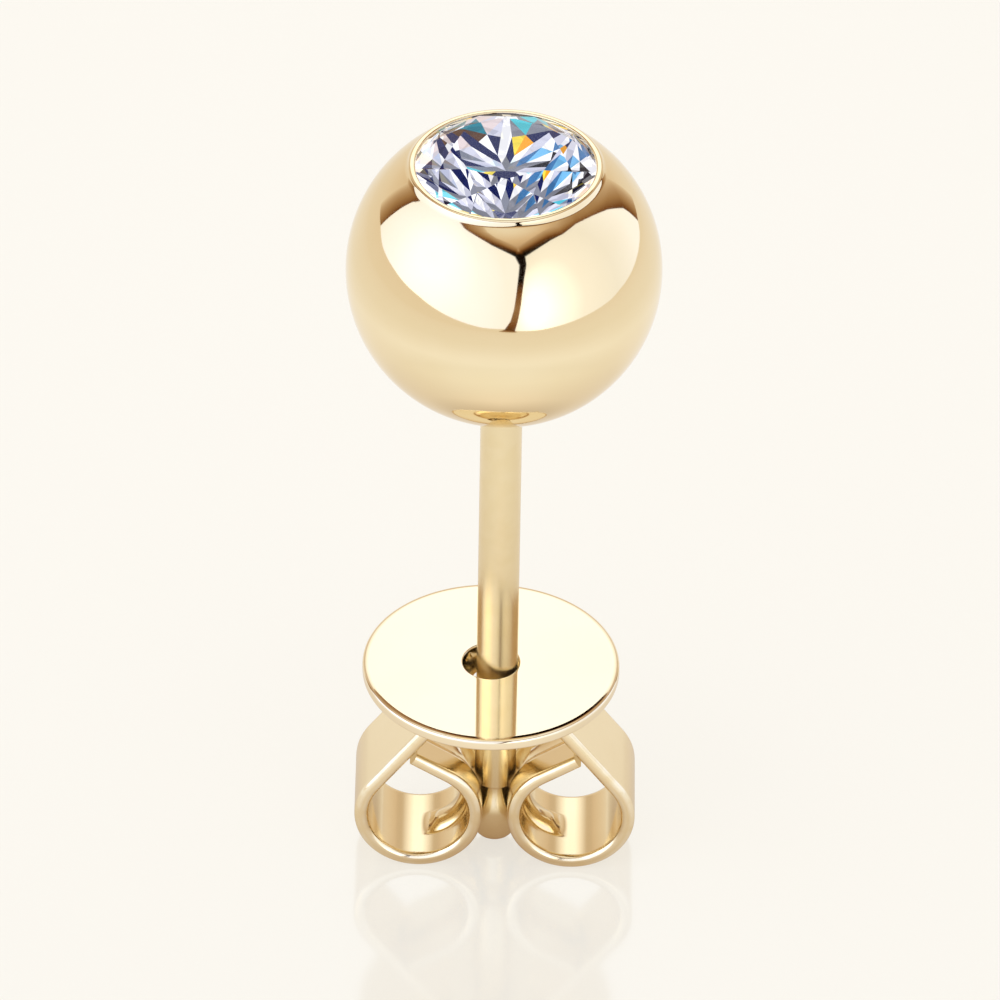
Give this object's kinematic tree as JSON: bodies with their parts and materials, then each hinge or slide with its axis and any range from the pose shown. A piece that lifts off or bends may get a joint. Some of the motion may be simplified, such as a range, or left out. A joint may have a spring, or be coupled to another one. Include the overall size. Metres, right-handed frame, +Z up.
{
  "type": "stud earring",
  "caption": "Gold-plated bead stud earring with a round brilliant stone set flush in its top, a straight post and a butterfly clutch that slides on the post.",
  "frame": {"origin": "on the surface that the earring stands on, under the axis of its post, between the two loops of its clutch", "axes": "+Z up along the post, from its tip to the bead and the stone; the clutch's loops lie left and right of the post along X, and their rolls run along Y; the front is -Y"},
  "size_m": [0.006, 0.006, 0.0166],
  "materials": {
    "gold_plate": "polished",
    "clutch_gold": "polished",
    "stone": "polished"
  },
  "bodies": {
    "stud": {"bead_and_post": "gold_plate", "stone": "stone"},
    "clutch": {"clutch": "clutch_gold"}
  },
  "joints": [
    {"name": "clutch_slide", "type": "slide", "parent": "stud", "child": "clutch", "axis": [0, 0, 1], "range_m": [-0.0045, 0.0063]}
  ]
}
